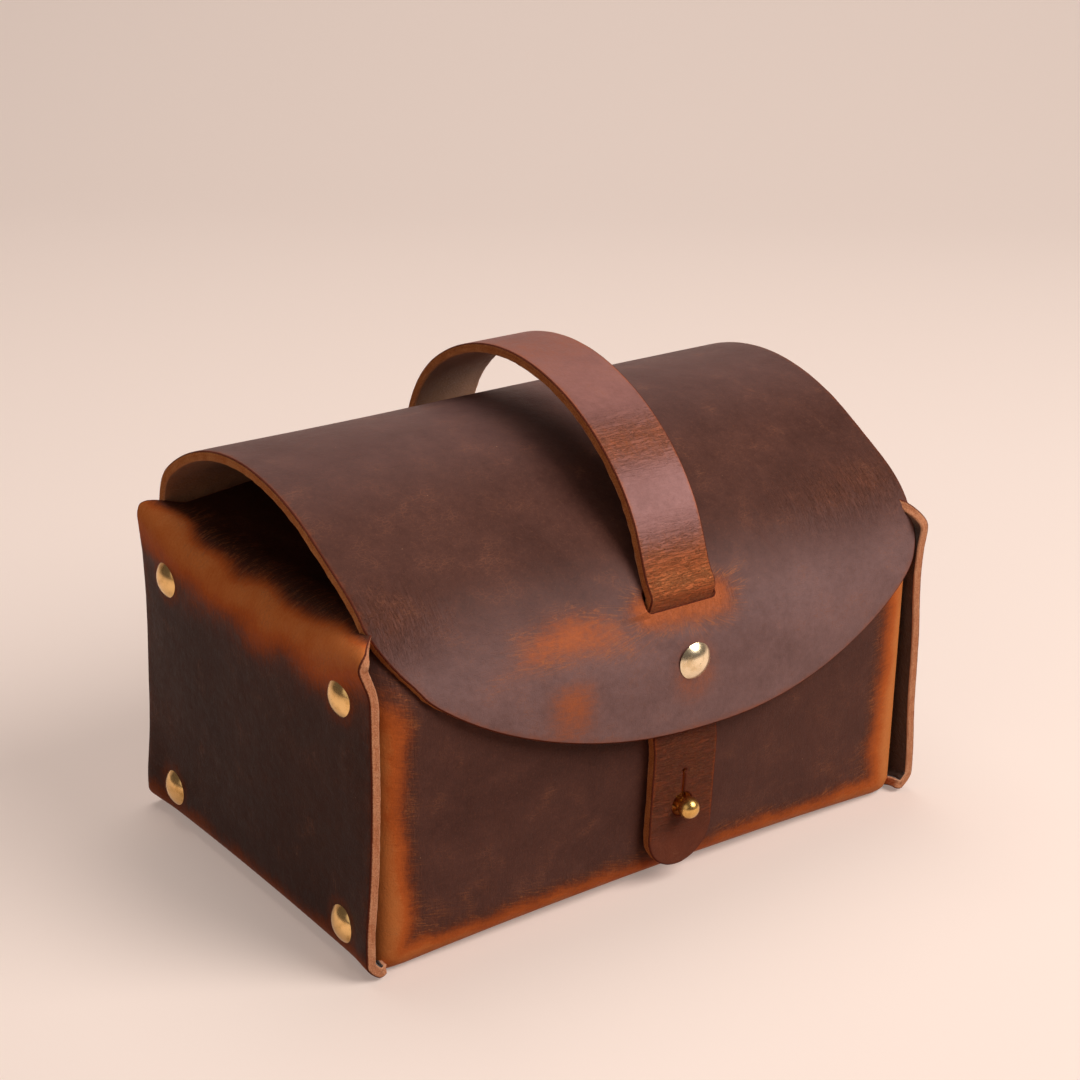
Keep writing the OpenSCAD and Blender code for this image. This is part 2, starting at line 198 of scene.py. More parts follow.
def inward(loop):
    """Unit normals of a loop, pointing to its left."""
    tangent = np.roll(loop, -1, 0) - np.roll(loop, 1, 0)
    tangent /= np.linalg.norm(tangent, axis=1)[:, None] + 1e-12
    return np.stack([-tangent[:, 1], tangent[:, 0]], -1)


def fray(count, seed, size):
    """Small ragged steps along a cut edge."""
    noise = np.random.RandomState(seed).normal(0, 1, count)
    soft = (noise + np.roll(noise, 1) + np.roll(noise, 2)) / 1.7
    return size * soft


# Rows of points over a cut edge, as (distance in from the outline, depth). EDGE_ROWS round its corners.
# In MID_ROWS the depth is a share of the thickness.
EDGE_R = 0.5
EDGE_ROWS = [(EDGE_R * (1 - math.sin(a)), EDGE_R * (1 - math.cos(a))) for a in (0, 0.55, 1.1, math.pi / 2)]
MID_ROWS = [(0.05, 0.35), (0.10, 0.5), (0.0, 0.7)]
GRAIN, EDGE, FLESH = 0, 1, 2


def flat_sheet(loops, normals, spacing):
    """Triangulate the pattern inside its rims. Gives its points, its triangles, and the new number of each
    rim point."""
    rims = [loop + normal * EDGE_R for loop, normal in zip(loops, normals)]
    low, high = loops[0].min(0), loops[0].max(0)
    xs = np.arange(low[0], high[0], spacing)
    ys = np.arange(low[1], high[1], spacing * 0.866)
    grid = np.array([(x + (spacing / 2 if j % 2 else 0), y) for j, y in enumerate(ys) for x in xs])
    grid = grid[inside(grid, rims)]
    rim_points = np.concatenate(rims)
    near = np.concatenate([np.min(np.sum((part[:, None] - rim_points[None]) ** 2, -1), 1)
                           for part in np.array_split(grid, 40)])
    grid = grid[near > (0.6 * spacing) ** 2]
    points = np.concatenate([rim_points, grid])
    edges, start = [], 0
    for rim in rims:
        edges += [(start + i, start + (i + 1) % len(rim)) for i in range(len(rim))]
        start += len(rim)
    flat, _, faces, origin, _, _ = delaunay_2d_cdt([Vector(p) for p in points], edges, [], 0, 1e-5)
    flat = np.array([tuple(p) for p in flat])
    found = {}
    for new, olds in enumerate(origin):
        for old in olds:
            found[old] = new
    faces = np.array([tuple(f) for f in faces])
    middle = flat[faces].mean(1)
    faces = faces[inside(middle, rims)]
    turn = np.cross(flat[faces[:, 1]] - flat[faces[:, 0]], flat[faces[:, 2]] - flat[faces[:, 0]])
    faces[turn < 0] = faces[turn < 0][:, ::-1]
    return flat, faces, found


def bent(place, uv, depths, flip):
    """Points of the bent sheet at (u, v) and a depth below its outer face."""
    step = 0.05
    u, v = uv[:, 0], uv[:, 1]
    here = place(u, v)
    normal = np.cross(place(u + step, v) - place(u - step, v), place(u, v + step) - place(u, v - step))
    normal *= flip / (np.linalg.norm(normal, axis=1)[:, None] + 1e-12)
    return here - normal * depths[:, None]


def sheet_mesh(name, xyz, triangles, quads, slots, materials):
    mesh = bpy.data.meshes.new(name)
    mesh.vertices.add(len(xyz))
    mesh.vertices.foreach_set("co", (xyz * MM).astype(np.float32).ravel())
    mesh.loops.add(triangles.size + quads.size)
    corners = np.concatenate([triangles.ravel(), quads.ravel()])
    mesh.loops.foreach_set("vertex_index", corners.astype(np.int32))
    sizes = np.concatenate([np.full(len(triangles), 3), np.full(len(quads), 4)])
    mesh.polygons.add(len(sizes))
    mesh.polygons.foreach_set("loop_start", (np.cumsum(sizes) - sizes).astype(np.int32))
    mesh.polygons.foreach_set("loop_total", sizes.astype(np.int32))
    mesh.polygons.foreach_set("material_index", slots.astype(np.int32))
    mesh.polygons.foreach_set("use_smooth", np.ones(len(sizes), bool))
    mesh.update(calc_edges=True)
    for material in materials:
        mesh.materials.append(material)
    return mesh


def leather(name, loops, place, flip, spacing, masks, materials, seed=1, ragged=0.07):
    """A leather piece: its flat pattern's loops, bent by place(u, v), with rounded and slightly ragged
    cut edges. flip is 1 or -1 and turns the outer face outwards. masks(u, v, xyz) gives the surface's
    named values."""
    loops = [dense(loop, min(1.0, spacing)) for loop in loops]
    loops = [loop if (area(loop) > 0) == (i == 0) else loop[::-1] for i, loop in enumerate(loops)]
    normals = [inward(loop) for loop in loops]
    flat, faces, found = flat_sheet(loops, normals, spacing)

    count = len(flat)
    uv = [flat, flat]
    depths = [np.zeros(count), np.full(count, LEATHER_T)]
    rows = EDGE_ROWS[1:]
    rows = rows + [(inset, LEATHER_T * share) for inset, share in MID_ROWS]
    rows = rows + [(inset, LEATHER_T - depth) for inset, depth in EDGE_ROWS[1:][::-1]]
    quads = []
    total = 2 * count
    start = 0
    for k, (loop, normal) in enumerate(zip(loops, normals)):
        size = len(loop)
        top = np.array([found[start + i] for i in range(size)])
        start += size
        last = top
        for r, (inset, depth) in enumerate(rows):
            rough = fray(size, seed * 100 + k * 10 + r, ragged * (0.3 + depth / LEATHER_T))
            row = np.arange(total, total + size)
            total += size
            uv.append(loop + normal * (inset + rough)[:, None])
            depths.append(np.full(size, depth))
            quads.append(np.stack([last, row, np.roll(row, -1), np.roll(last, -1)], -1))
            last = row
        quads.append(np.stack([last, top + count, np.roll(top, -1) + count, np.roll(last, -1)], -1))
    uv = np.concatenate(uv)
    depths = np.concatenate(depths)
    xyz = bent(place, uv, depths, flip)
    triangles = np.concatenate([faces, faces[:, ::-1] + count])
    quads = np.concatenate(quads)
    if flip < 0:
        triangles = triangles[:, ::-1]
        quads = quads[:, ::-1]

    slots = np.repeat([GRAIN, FLESH, EDGE], [len(faces), len(faces), len(quads)])
    mesh = sheet_mesh(name, xyz, triangles, quads, slots, materials)

    values = masks(uv[:, 0], uv[:, 1], xyz)
    values["depth"] = depths / LEATHER_T
    pattern = np.stack([uv[:, 0], uv[:, 1], depths + seed * 37.0], -1)
    for key, vectors in (("pattern", pattern), ("flow", values.pop("flow"))):
        attribute = mesh.attributes.new(key, "FLOAT_VECTOR", "POINT")
        attribute.data.foreach_set("vector", vectors.astype(np.float32).ravel())
    for key, numbers in values.items():
        attribute = mesh.attributes.new(key, "FLOAT", "POINT")
        attribute.data.foreach_set("value", (np.zeros(len(uv)) + numbers).astype(np.float32))
    piece = bpy.data.objects.new(name, mesh)
    bpy.context.scene.collection.objects.link(piece)
    return piece


# ---------------------------------------------------------------- materials

class Paint:
    """Short names for building one node material."""

    def __init__(self, name):
        self.material = bpy.data.materials.new(name)
        self.material.use_nodes = True
        self.tree = self.material.node_tree
        self.shader = self.tree.nodes["Principled BSDF"]

    def node(self, kind, inputs=(), **settings):
        made = self.tree.nodes.new(kind)
        for key, value in settings.items():
            setattr(made, key, value)
        for key, value in dict(inputs).items():
            self.set(made.inputs[key], value)
        return made

    def set(self, socket, value):
        if isinstance(value, bpy.types.NodeSocket):
            self.tree.links.new(value, socket)
        else:
            socket.default_value = value

    def value(self, name):
        return self.node("ShaderNodeAttribute", attribute_name=name).outputs["Fac"]

    def vector(self, name):
        return self.node("ShaderNodeAttribute", attribute_name=name).outputs["Vector"]

    def stretch(self, vector, scale):
        return self.node("ShaderNodeVectorMath", {0: vector, 1: scale}, operation="MULTIPLY").outputs[0]

    def noise(self, vector, scale, detail=3.0, rough=0.55, distortion=0.0):
        inputs = {"Vector": vector, "Scale": scale, "Detail": detail, "Roughness": rough,
                  "Distortion": distortion}
        return self.node("ShaderNodeTexNoise", inputs).outputs["Fac"]

    def cells(self, vector, scale, feature="F1"):
        made = self.node("ShaderNodeTexVoronoi", {"Vector": vector, "Scale": scale}, feature=feature)
        return made.outputs["Distance"]

    def math(self, operation, first, second=0.0, third=0.0):
        made = self.node("ShaderNodeMath", {0: first, 1: second, 2: third}, operation=operation)
        return made.outputs[0]

    def add(self, first, second):
        return self.math("ADD", first, second)

    def near_zero(self, value, width):
        """A soft line where the value crosses zero."""
        return self.step(self.math("ABSOLUTE", value), width, 0.0)

    def times(self, first, second):
        return self.math("MULTIPLY", first, second)

    def spread(self, noise, size):
        """A noise value moved to swing around zero by size."""
        return self.math("MULTIPLY_ADD", noise, size, -size / 2)

    def step(self, value, low, high):
        """0 below low, 1 above high and an S curve in between."""
        made = self.node("ShaderNodeMapRange", {"Value": value, "From Min": low, "From Max": high},
                         interpolation_type="SMOOTHSTEP", clamp=True)
        return made.outputs["Result"]

    def line(self, value, low, high, first, last):
        made = self.node("ShaderNodeMapRange", {"Value": value, "From Min": low, "From Max": high,
                                                "To Min": first, "To Max": last}, clamp=True)
        return made.outputs["Result"]

    def mix(self, share, first, second):
        made = self.node("ShaderNodeMix", data_type="RGBA", blend_type="MIX")
        for socket, value in zip([s for s in made.inputs if s.enabled], (share, first, second)):
            self.set(socket, value)
        return [s for s in made.outputs if s.enabled][0]

    def ramp(self, value, stops):
        made = self.node("ShaderNodeValToRGB", {"Fac": value})
        ramp = made.color_ramp
        while len(ramp.elements) < len(stops):
            ramp.elements.new(0.5)
        for element, (position, colour) in zip(ramp.elements, stops):
            element.position = position
            element.color = colour
        return made.outputs["Color"]

    def bumps(self, layers):
        """A normal from (height, strength, distance in metres) layers."""
        normal = None
        for height, strength, distance in layers:
            made = self.node("ShaderNodeBump", {"Height": height, "Strength": strength, "Distance": distance})
            if normal is not None:
                self.set(made.inputs["Normal"], normal)
            normal = made.outputs["Normal"]
        return normal

    def finish(self, **inputs):
        for key, value in inputs.items():
            self.set(self.shader.inputs[key.replace("_", " ")], value)
        return self.material


def grain_side(name, dark, brown, bloom_sheen_tint):
    """The waxed face: dark and mottled, greyed by its wax bloom and by painted sheen, darkened by painted
    shade, and pulled up to orange where it is bent. Its masks are pull (how far the leather is pulled up),
    grey (wax bloom, and painted sheen where the light glances off), crease (wrinkles across the flow), hair
    (thin pale fibres) and shade (painted shade, near black). A mask that a piece doesn't give is 0."""
    p = Paint(name)
    pattern, flow = p.vector("pattern"), p.vector("flow")
    pull, shade, grey, crease = p.value("pull"), p.value("shade"), p.value("grey"), p.value("crease")
    hair = p.value("hair")

    clouds = p.noise(pattern, 0.014, 4.0, 0.6, 0.6)
    mottle = p.noise(pattern, 0.08, 5.0, 0.6, 0.3)
    stipple = p.noise(pattern, 0.42, 5.0, 0.68)
    fine = p.noise(pattern, 1.3, 4.0, 0.65)
    fibres = p.noise(p.stretch(flow, (1.0, 0.13, 1.0)), 1.0, 5.0, 0.66, 1.5)
    hairs = p.noise(p.stretch(flow, (0.42, 0.05, 1.0)), 1.0, 2.0, 0.5, 2.0)

    tone = p.add(p.spread(mottle, 0.45), p.spread(stipple, 0.55))
    tone = p.add(p.line(clouds, 0.25, 0.75, 0.3, 0.75), tone)
    colour = p.mix(p.step(tone, 0.0, 1.05), dark, brown)
    veil = p.add(p.spread(mottle, 0.4), p.spread(stipple, 0.5))
    veil = p.add(p.line(clouds, 0.3, 0.7, 0.62, 0.9), veil)
    # Wax bloom and painted sheen: the grey mask pales the colour towards the bloom tint, partly real bloom
    # and partly a painted sheen where the light glances off.
    colour = p.mix(p.times(grey, veil), colour, bloom_sheen_tint)
    colour = p.mix(p.times(p.step(fine, 0.5, 0.78), 0.26), colour, rgb(140, 88, 66))

    border = p.times(p.step(pull, 0.01, 0.3), p.step(pull, 1.1, 0.5))
    raised = p.add(pull, p.times(border, p.add(p.spread(fibres, 0.42), p.spread(stipple, 0.36))))
    uneven = p.add(p.spread(mottle, 0.3), p.spread(fine, 0.2))
    raised = p.add(raised, p.times(p.step(pull, 0.0, 0.2), uneven))
    warm = p.ramp(raised, [(0.0, rgb(90, 46, 30)), (0.25, rgb(112, 52, 28)), (0.5, rgb(158, 74, 32)),
                           (0.78, rgb(206, 102, 42)), (1.0, rgb(230, 140, 74))])
    # Painted sheen on the pulled-up colour too, where the grey mask is high.
    warm = p.mix(p.times(grey, 0.7), warm, rgb(192, 116, 82))
    colour = p.mix(p.step(raised, 0.0, 0.66), colour, warm)
    pulled_hair = p.near_zero(p.add(hairs, -0.5), 0.05)
    pulled_hair = p.times(pulled_hair, p.step(p.add(hair, p.spread(mottle, 1.3)), 0.1, 0.9))
    pulled_hair = p.times(pulled_hair, p.step(hair, 0.02, 0.3))
    pulled_hair = p.times(pulled_hair, p.line(fine, 0.3, 0.6, 0.1, 0.75))
    colour = p.mix(pulled_hair, colour, rgb(192, 114, 66))
    crackle = p.cells(p.stretch(flow, (0.9, 0.45, 1.0)), 1.0, "DISTANCE_TO_EDGE")
    crackle = p.times(p.step(crackle, 0.09, 0.0), p.step(p.add(mottle, p.spread(clouds, 0.6)), 0.5, 0.72))
    colour = p.mix(p.times(crackle, 0.3), colour, rgb(150, 92, 66))
    creased = p.noise(p.stretch(flow, (0.13, 1.1, 1.0)), 1.0, 4.0, 0.6, 1.6)
    lines = p.near_zero(p.add(creased, -0.5), 0.055)
    folded = p.times(p.step(creased, 0.5, 0.68), 0.45)
    colour = p.mix(p.times(crease, folded), colour, rgb(176, 94, 52))
    colour = p.mix(p.times(p.step(crease, 0.05, 0.9), p.times(lines, 0.6)), colour, rgb(206, 138, 92))
    # Painted shade: where the shade mask is high the colour goes to near black, for shadow falling there.
    colour = p.mix(p.times(shade, 0.9), colour, rgb(17, 8, 5))

    scratch = p.noise(p.stretch(pattern, (0.03, 0.6, 1.0)), 1.0, 2.0, 0.5, 3.0)
    scratch = p.times(p.near_zero(p.add(scratch, -0.5), 0.03), p.step(mottle, 0.58, 0.7))
    colour = p.mix(p.times(scratch, 0.3), colour, rgb(160, 104, 76))
    specks = p.times(p.step(p.cells(pattern, 0.13), 0.04, 0.015), p.step(fine, 0.46, 0.62))
    colour = p.mix(p.times(specks, 0.6), colour, rgb(196, 150, 118))

    rough = p.add(p.line(stipple, 0.3, 0.7, 0.44, 0.58), p.times(p.step(raised, 0.2, 0.7), 0.06))
    pits = p.step(p.cells(pattern, 1.7), 0.0, 0.5)
    normal = p.bumps([
        (p.noise(pattern, 0.12, 3.0, 0.5), 0.3, 0.0011),
        (p.times(p.add(creased, p.times(lines, -0.5)), crease), 0.9, 0.0011),
        (crackle, 0.12, 0.0003),
        (stipple, 0.3, 0.0004),
        (pits, 0.25, 0.00018),
        (fine, 0.35, 0.0002)])
    return p.finish(Base_Color=colour, Roughness=rough, Normal=normal, Specular_IOR_Level=0.1)


def cut_edge(name, tan, brown):
    """A cut edge: short tan fibres, a faint seam of the split, and the dyed face as a thin dark line."""
    p = Paint(name)
    pattern, depth = p.vector("pattern"), p.value("depth")
    fuzz = p.noise(pattern, 2.2, 5.0, 0.7)
    patches = p.noise(pattern, 0.2, 3.0, 0.6)
    colour = p.mix(p.step(p.add(fuzz, p.spread(patches, 0.5)), 0.3, 0.72), brown, tan)
    seam = p.add(p.add(depth, -0.45), p.spread(patches, 0.3))
    layer = p.near_zero(seam, 0.09)
    colour = p.mix(p.times(layer, 0.35), colour, brown)
    dyed = p.step(p.add(depth, p.spread(fuzz, 0.16)), 0.2, 0.07)
    colour = p.mix(dyed, colour, rgb(104, 44, 26))
    worn = p.step(p.add(depth, p.spread(fuzz, 0.3)), 0.8, 1.0)
    colour = p.mix(p.times(worn, 0.5), colour, rgb(226, 170, 134))
    normal = p.bumps([(fuzz, 0.9, 0.0005), (patches, 0.4, 0.0006)])
    return p.finish(Base_Color=colour, Roughness=0.85, Normal=normal, Specular_IOR_Level=0.2)


def flesh_side(name):
    """The raw inner face: short brown suede with lighter scuffs, and painted shade, near black, in the
    recesses that the mask hollow marks.
    """
    p = Paint(name)
    pattern = p.vector("pattern")
    nap = p.noise(pattern, 1.3, 5.0, 0.7)
    hollow = p.value("hollow")
    patches = p.noise(pattern, 0.05, 4.0, 0.6, 0.8)
    colour = p.mix(p.step(patches, 0.2, 0.8), rgb(162, 102, 62), rgb(190, 128, 80))
    colour = p.mix(p.times(p.step(nap, 0.45, 0.75), 0.6), colour, rgb(190, 130, 84))
    # Painted shade: the hollow mask darkens the recesses where shadow falls.
    colour = p.mix(hollow, colour, rgb(30, 16, 9))
    normal = p.bumps([(nap, 0.9, 0.0005), (p.noise(pattern, 0.25, 4.0), 0.5, 0.0008)])
    return p.finish(Base_Color=colour, Roughness=0.95, Normal=normal, Specular_IOR_Level=0.15,
                    Sheen_Weight=0.35, Sheen_Roughness=0.6)


def brass(name, bright, dull, rough):
    """Polished brass with faint scratches and a little tarnish."""
    p = Paint(name)
    place = p.node("ShaderNodeTexCoord").outputs["Object"]
    tarnish = p.noise(place, 260.0, 4.0, 0.6)
    scratches = p.noise(p.stretch(place, (900.0, 5200.0, 900.0)), 1.0, 2.0, 0.5)
    colour = p.mix(p.step(tarnish, 0.45, 0.75), bright, dull)
    shine = p.line(p.add(tarnish, p.spread(scratches, 0.5)), 0.3, 0.8, rough, rough + 0.12)
    normal = p.bumps([(scratches, 0.08, 0.00003), (tarnish, 0.06, 0.0001)])
    return p.finish(Base_Color=colour, Metallic=1.0, Roughness=shine, Normal=normal)


# The third colour of each grain is the tint of its wax bloom, which also carries its painted sheen.
HIDE = [grain_side("hide_grain", rgb(62, 30, 20), rgb(98, 56, 42), rgb(156, 124, 122)),
        cut_edge("hide_edge", rgb(236, 170, 128), rgb(204, 124, 82)),
        flesh_side("hide_flesh")]
LID_HIDE = [HIDE[0], cut_edge("lid_edge", rgb(232, 160, 100), rgb(200, 116, 62)), HIDE[2]]
# The strap's tint is paler, for a brighter painted sheen on the handle.
STRAP_HIDE = [grain_side("strap_grain", rgb(82, 40, 27), rgb(128, 68, 48), rgb(180, 132, 128)),
              cut_edge("strap_edge", rgb(222, 144, 86), rgb(186, 104, 54)),
              flesh_side("strap_flesh")]


# ---------------------------------------------------------------- box: front, base and back in one piece

# The girth runs from the middle of the base out to a wall's foot and up the wall.
GIRTH = [(HALF_D - BEND_R, 0), (BEND_R, 90), (WALL_H, 0)]
BEND_LENGTH = BEND_R * math.pi / 2
GIRTH_TO_WALL = HALF_D - BEND_R + BEND_LENGTH
WRAP_LENGTH = SIDE_R * math.pi / 2
FLANGE_TOP = 99.0
EAR_RISE = 3.5
EAR_BEND_Z = 84.0
EAR_LEAN = 0.2
WALL_SPAN = 98.0
ARCH_FRONT, ARCH_BACK = 2.3, 1.2
WALL_BOW = 0.8
RELIEF_X = 99.45
FLANGE_ROUND = 4.0


def girth_at(z):
    """How far from the middle of the base the height z is, along the girth."""
    return GIRTH_TO_WALL + z - BEND_R


def place_box(u, v):
    """The girth bent up at both feet, its sides wrapped round to flanges, and its small unevenness."""
    side = np.where(v < 0, -1.0, 1.0)
    down, along, _ = trace((0, 0, 0), GIRTH, np.abs(v))
    y, z = along, -down
    bend_r = np.where((v < 0) & (u > 0), WIDE_SIDE_R, SIDE_R)
    flat_to = FRONT_HALF_W + SIDE_R - bend_r
    past = np.clip(np.abs(u) - flat_to, 0, None)
    upright = smooth(HALF_D - BEND_R, GIRTH_TO_WALL, np.abs(v))
    angle = np.clip(past / bend_r, 0, math.pi / 2)
    run = np.clip(past - bend_r * math.pi / 2, 0, None)
    x_wrapped = np.clip(np.abs(u), None, flat_to) + bend_r * np.sin(angle)
    wrapped = smooth(HALF_D - BEND_R - 1, GIRTH_TO_WALL - 3, np.abs(v))
    x = (np.abs(u) + (x_wrapped - np.abs(u)) * wrapped) * np.sign(u + 1e-9)
    y = y - wrapped * (bend_r * (1 - np.cos(angle)) + run)
    middle = np.clip(1 - (u / WALL_SPAN) ** 2, 0, 1)
    arch = np.where(side < 0, ARCH_FRONT, ARCH_BACK) * middle * smooth(20, 66, np.abs(v)) * smooth(60, 0, z)
    bow = WALL_BOW * middle * upright * bump(z - 45, 34)
    sway = 0.25 * wander(u, v, 5, 90) * middle * upright
    tucked = np.where(side < 0, EAR_LEAN * np.clip(z - EAR_BEND_Z, 0, None) ** 1.3, 0)
    return np.stack([x, side * (y + bow + sway - tucked), z + arch], -1)


def box_outline():
    """The back's and the front's right quarters, each mirrored: base, wall, flange and relief hole."""
    flange_end = FRONT_HALF_W + WRAP_LENGTH + FLANGE_W - SIDE_R
    low = girth_at(FLANGE_Z)

    def corner(top, across, ear=0.0):
        foot = HALF_D - BEND_R
        bend_end = FRONT_HALF_W + WRAP_LENGTH
        round_x, r = flange_end - FLANGE_ROUND, FLANGE_ROUND
        half = [(BASE_HALF_W, 0), *arc((RELIEF_X, foot), RELIEF_R, -60, -295, 0.5),
                (104.0, foot + 4.0), (107.6, foot + 6.6), (109.8, low - 2.2), (112.5, low), (round_x, low),
                *arc((round_x, low + r), r, -90, 0), *arc((round_x, top - r), r, 0, 90),
                (bend_end + 1.5, top), (bend_end - 2, top + ear), (FRONT_HALF_W + 0.02, top + ear)]
        return np.array(half + across)

    back = corner(girth_at(WALL_H), [(FRONT_HALF_W, girth_at(SEAM_Z))])
    edge = np.linspace(FRONT_HALF_W - 1, 0, 60)
    rise = FLANGE_TOP + EAR_RISE - FRONT_H + FRONT_DIP
    dip = [(x, girth_at(FRONT_H - FRONT_DIP + rise * smooth(45, 90, x))) for x in edge]
    front = corner(girth_at(FLANGE_TOP), dip, EAR_RISE)
    front_left, back_left = front * (-1, 1), back * (-1, 1)
    return np.concatenate([back, back_left[::-1], front_left * (1, -1), (front * (1, -1))[::-1]])


def box_masks(u, v, xyz):
    x, y, z = xyz.T
    front = v < 0
    wavy = wander(u, v, 11, 26)
    edge = np.where(x < 0, 98.5 - 2.5 * smooth(50, 5, z), 94.0 - 3 * smooth(60, 5, z))
    upright = smooth(edge - 9, edge + 7, np.abs(x) + 1.1 * wavy) * smooth(106, 74, z)
    foot = 0.95 * smooth(15.5, 2.5, z + 1.0 * wavy) * (np.abs(v) > HALF_D - BEND_R - 8)
    smudge = 0.26 * smooth(30, 6, z + 5 * wander(u, v, 13, 40)) * smooth(50, 92, np.abs(x))
    pull = np.maximum(np.maximum(upright, foot), smudge)
    border = bump(pull - 0.3, 0.25)
    # Painted shade: the front half of the girth is darkened a little.
    return {"pull": pull, "shade": 0.1 * front, "grey": 0.12, "crease": 0.15 * border,
            "hair": 0.6 * border, "flow": flow_along(v + 0.3 * np.abs(u), u)}


box_hide = leather("box_hide", [box_outline()], place_box, -1, 2.0, box_masks, HIDE, seed=1)
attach(box_hide, "box")
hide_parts("base_panel", "front_panel", "back_panel")


# ---------------------------------------------------------------- ends with their top flaps

WING_DROOP = 10.0
WING_LENGTH = 42.0
WING_FRONT = -50.0
WING_REAR = 58.0
RELIEF_Y = HALF_D - BEND_R
FOLD_RUN = 5
BELLY_Z = 83.0
BELLY_R = 30.0
END_LEAN = 5.0
BOW_HALF_D = 52.0
RIVET_Y = 52.4
RIVET_LOW_Z, RIVET_HIGH_Z = 12.6, 87.4
RIVET_RIM = 7.0


def end_runs(side, y):
    """The end's runs at depth y: it bellies out in front, and its fold is wider and lower in the middle.
    q grows from 0 in the middle to 1 at the end's front and rear edges, and front does so in front alone."""
    q = (y / END_HALF_D) ** 2
    front = np.where(y < 0, q, 0)
    if side == LEFT:
        angle = END_LEAN + 17.0 * front
        top = 104.2 + np.where(y < 0, 6.4 - 3.4 * front ** 3, 7.8) * q
        fold = 16.0 - 8.5 * q - 3.0 * front ** 2
    else:
        angle = END_LEAN
        top = 104.5 + (4.8 - 3.0 * front ** 3) * q
        fold = 15.0 - 5.0 * q
    droop = WING_DROOP - 16.0 * smooth(5, 58, y) + 48.0 * smooth(0.55, 1.0, front)
    belly_z = BELLY_Z + 7.0 * q
    belly_r = BELLY_R - 14.0 * front
    lean = np.radians(angle)
    run = (top - fold * (1 + np.sin(lean)) - belly_r * np.sin(lean) - belly_z) / np.cos(lean)
    return [(BASE_RUN, 0), (BEND_R, 90), (belly_z - BEND_R, 0), (belly_r, -angle), (run, 0),
            (fold, angle + 90 + droop), (WING_LENGTH, 0)]


def end_place(side):
    """The function that bends one end: its runs, its flared corners, and a waist below the fold."""
    def place(u, v):
        down, out, heading = trace((0, BASE_HALF_W, 0), end_runs(side, v), u)
        z = -down
        corner = smooth(54, END_HALF_D, np.abs(v))
        flare = 1.7 * bump(z - 9, 17) * corner * smooth(0, 6, z)
        waist = (-0.6 * bump(z - 66, 22) if side == LEFT else -1.8 * bump(z - 80, 18)) * corner
        bow = 0.9 * bump(z - 50, 30) * np.clip(1 - (v / BOW_HALF_D) ** 2, 0, 1)
        arch = 1.5 * np.clip(1 - (v / END_HALF_D) ** 2, 0, 1) * smooth(40, 0, z)
        sway = 0.25 * wander(u, v, 21 + side, 80) * smooth(8, 20, z) * smooth(92, 80, z)
        out = out + flare + waist + bow + sway
        z = z + 1.6 * smooth(6.5, 3.0, u) * smooth(60, 67, np.abs(v))
        return np.stack([side * out, v, z + arch], -1)
    return place


def fold_start(side, y):
    """Arc length at which the fold along the end's top begins, at depth y."""
    return sum(np.where(np.asarray(turn) == 0, size, size * np.radians(np.abs(turn)))
               for size, turn in end_runs(side, np.asarray(y, float))[:FOLD_RUN])


def fold_middle(side, y):
    """Arc length just before the middle of that fold."""
    size, turn = end_runs(side, np.asarray(y, float))[FOLD_RUN]
    return fold_start(side, y) + size * np.radians(turn) * 0.45


def end_outline(side):
    """Base strip, wall, and a top whose corners draw back past the fold to the narrower flap: in front by
    a rounded corner and a straight line, at the rear by an S curve."""
    steps = 28
    tip = float(fold_middle(side, 0)) + 14 + WING_LENGTH
    round_r = 12.0
    corner_r = 4.0
    leave = float(fold_start(side, -END_HALF_D)) + (4.5 if side == LEFT else 3.0)
    front_end = float(fold_middle(side, WING_FRONT)) + 16.0
    turn = arc((leave, -END_HALF_D + corner_r), corner_r, -90, -42)
    turn_end = turn[-1]
    to_flap = np.array((front_end, WING_FRONT)) - turn_end
    front = [*turn, *[turn_end + to_flap * t for t in np.linspace(0, 1, steps)[1:]]]
    leave = float(fold_start(side, END_HALF_D)) + 4.0
    rear_end = float(fold_middle(side, WING_REAR)) + 12.0
    rear = [(leave + (rear_end - leave) * t, END_HALF_D - (END_HALF_D - WING_REAR) * t * t * (3 - 2 * t))
            for t in np.linspace(1, 0, steps)]
    foot = np.array([(0, RELIEF_Y - 2.4), (1.8, RELIEF_Y - 1.4), (2.8, RELIEF_Y + 1.0),
                     (3.2, END_HALF_D - 2.0), *arc((4.2, END_HALF_D - 1.0), 1.0, 180, 90, 0.5)])
    return np.array([*(foot * (1, -1)), *front,
                     *arc((tip - round_r, WING_FRONT + round_r), round_r, -90, 0),
                     *arc((tip - round_r, WING_REAR - round_r), round_r, 0, 90), *rear, *foot[::-1]])


